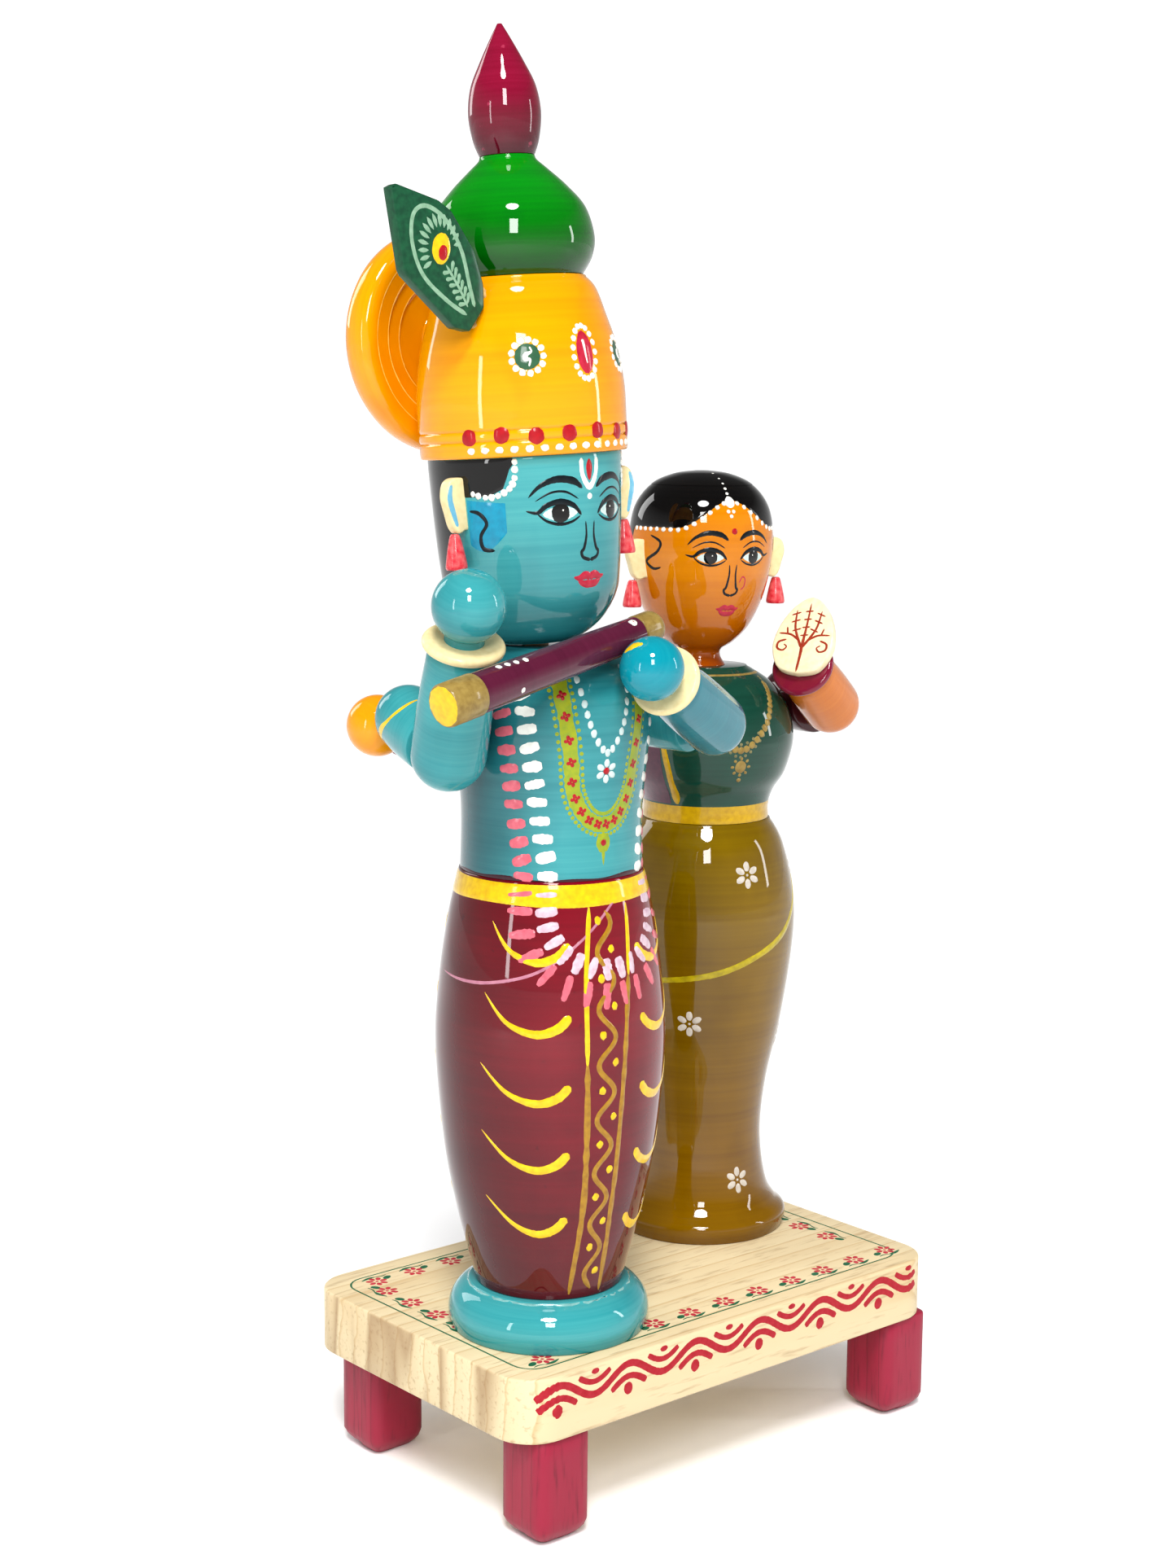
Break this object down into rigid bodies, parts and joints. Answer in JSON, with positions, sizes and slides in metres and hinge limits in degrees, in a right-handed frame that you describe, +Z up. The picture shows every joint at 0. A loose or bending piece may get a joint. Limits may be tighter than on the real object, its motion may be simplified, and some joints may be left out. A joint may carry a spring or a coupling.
{
  "type": "turned wooden doll pair on a stand",
  "caption": "Two lathe-turned, lacquered wooden dolls, a flute player and a companion, pegged together and screwed to a painted four-legged stand.",
  "frame": {"origin": "centre of the bounding box, on the surface that the stand's legs rest on", "axes": "+Z up, -Y the figures' front, +X from the flute player to the companion"},
  "size_m": [0.1661, 0.0933, 0.3305],
  "materials": {
    "natural_wood": "satin, bare pale wood",
    "stained_wood": "satin, red stained wood",
    "dowel_wood": "plain wood",
    "teal_lacquer": "gloss lacquer",
    "skirt_lacquer": "gloss lacquer",
    "crown_lacquer": "gloss lacquer",
    "bulb_lacquer": "gloss lacquer",
    "finial_lacquer": "gloss lacquer",
    "feather_paint": "satin paint",
    "cream_wood": "satin paint",
    "earring_red": "gloss paint",
    "flute_lacquer": "gloss lacquer",
    "sari_lacquer": "gloss lacquer",
    "bodice_lacquer": "gloss lacquer",
    "skin_lacquer": "gloss lacquer",
    "sleeve_lacquer": "gloss lacquer",
    "bangle_lacquer": "gloss lacquer",
    "screw_steel": "zinc plated"
  },
  "bodies": {
    "root": {"stand_board": "natural_wood", "leg_front_left": "stained_wood", "leg_front_right": "stained_wood", "leg_back_left": "stained_wood", "leg_back_right": "stained_wood", "leg_dowels": "dowel_wood", "figure_screws": "screw_steel", "player_base_ring": "teal_lacquer", "player_skirt": "skirt_lacquer", "player_torso": "teal_lacquer", "player_head": "teal_lacquer", "player_crown": "crown_lacquer", "player_crown_bulb": "bulb_lacquer", "player_finial": "finial_lacquer", "player_core_dowels": "dowel_wood", "player_halo": "crown_lacquer", "player_halo_peg": "dowel_wood", "player_feather": "feather_paint", "player_ear_right": "cream_wood", "player_ear_left": "cream_wood", "player_earring_right": "earring_red", "player_earring_left": "earring_red", "player_upper_arm_right": "teal_lacquer", "player_upper_arm_left": "teal_lacquer", "player_forearm_right": "teal_lacquer", "player_forearm_left": "teal_lacquer", "player_bangle_right": "cream_wood", "player_bangle_left": "cream_wood", "player_hand_right": "teal_lacquer", "player_hand_left": "teal_lacquer", "player_arm_pegs": "dowel_wood", "flute": "flute_lacquer", "companion_sari": "sari_lacquer", "companion_bodice": "bodice_lacquer", "companion_head": "skin_lacquer", "companion_core_dowels": "dowel_wood", "companion_ear_right": "cream_wood", "companion_ear_left": "cream_wood", "companion_earring_right": "earring_red", "companion_earring_left": "earring_red", "companion_upper_arm_right": "sleeve_lacquer", "companion_upper_arm_left": "sleeve_lacquer", "companion_forearm_right": "skin_lacquer", "companion_forearm_left": "skin_lacquer", "companion_bangle_right": "bangle_lacquer", "companion_bangle_left": "bangle_lacquer", "companion_hand_right": "skin_lacquer", "companion_palm_left": "cream_wood", "companion_arm_pegs": "dowel_wood"}
  },
  "joints": []
}
